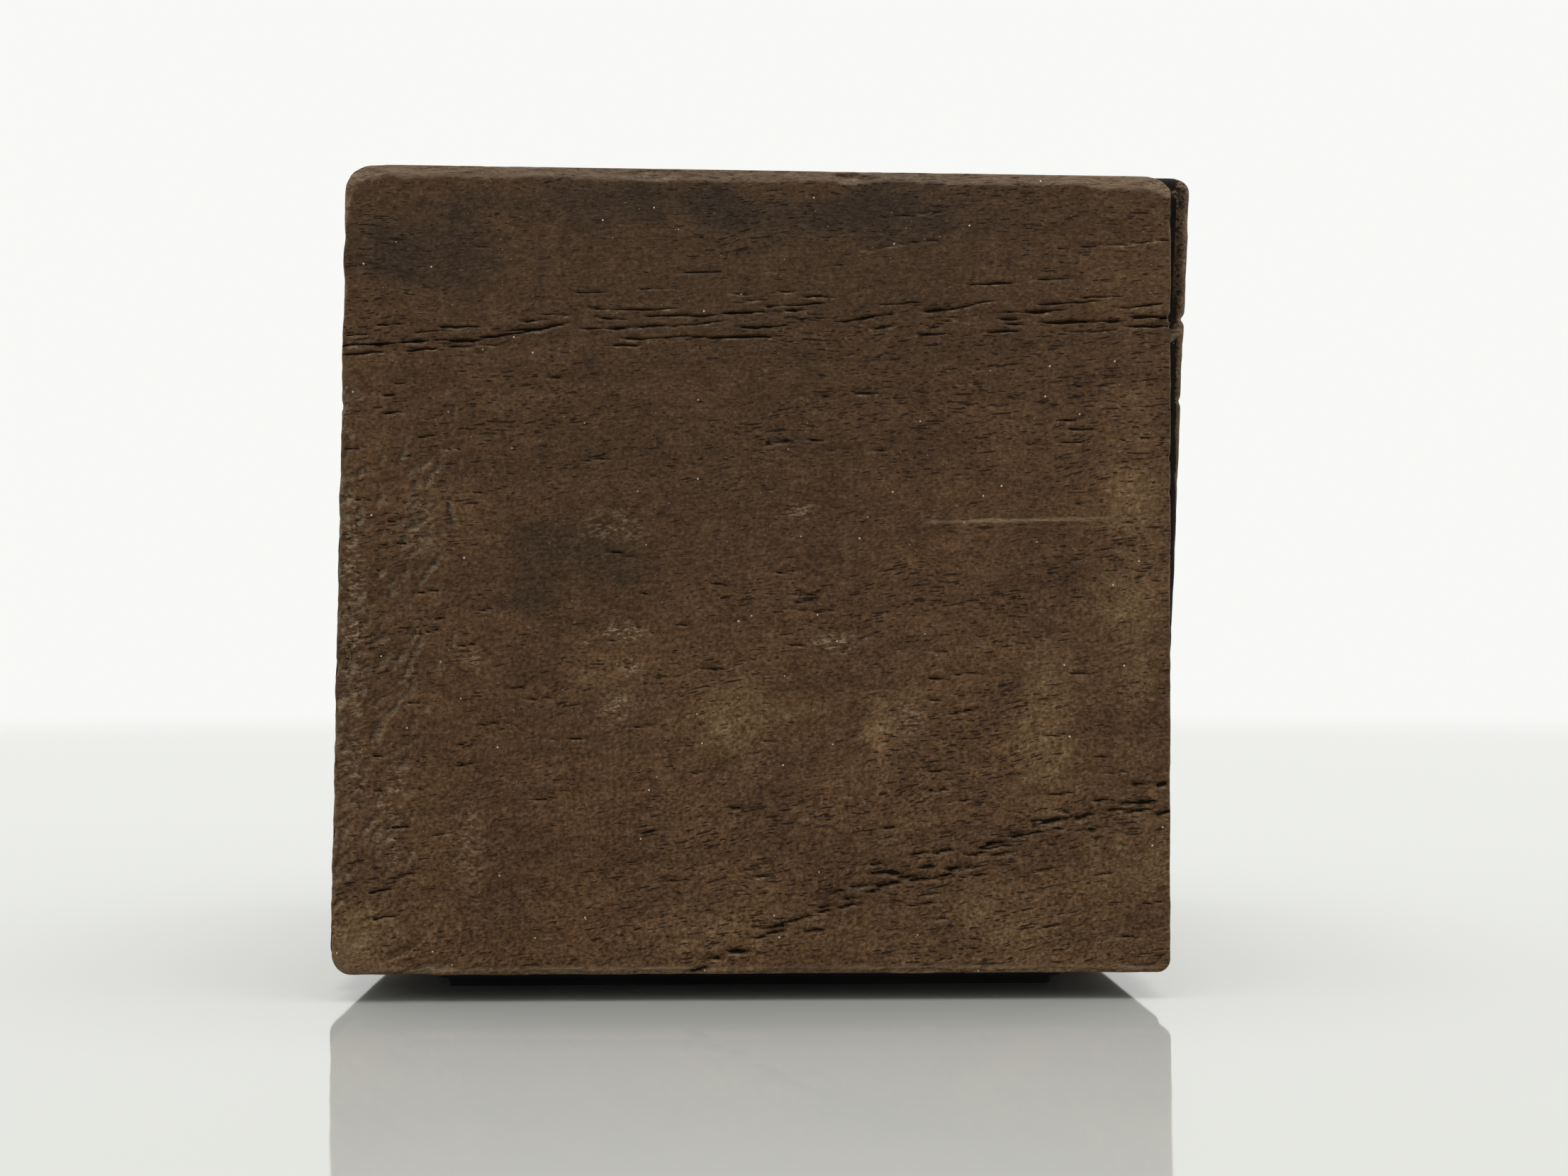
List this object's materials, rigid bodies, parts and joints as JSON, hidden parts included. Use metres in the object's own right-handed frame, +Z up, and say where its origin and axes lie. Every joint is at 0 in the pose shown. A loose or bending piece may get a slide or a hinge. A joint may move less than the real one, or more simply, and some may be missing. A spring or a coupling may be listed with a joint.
{
  "type": "rubber stamp",
  "caption": "Wood-mounted rubber stamp: a near-cubic aged hardwood block of two glued boards, held in the hand, over an inset moulded rubber die with a raised picture.",
  "frame": {"origin": "middle of the object's footprint, on the surface that the rubber print face rests on", "axes": "+Z up, away from the print face; the front board faces -Y; +X to the right when looking at the front board"},
  "size_m": [0.0642, 0.06, 0.061],
  "materials": {
    "front_wood": "dark, oily, worn bare hardwood with open pores",
    "block_wood": "dark, oily, worn bare hardwood with open pores",
    "dark_glue": "dried, dirt-filled animal glue",
    "rubber_cement": "thin dried rubber cement",
    "die_rubber": "matte vulcanised rubber, ink-stained"
  },
  "bodies": {
    "root": {"front_board": "front_wood", "back_block": "block_wood", "seam_glue": "dark_glue", "die_cement": "rubber_cement", "rubber_die": "die_rubber"}
  },
  "joints": []
}
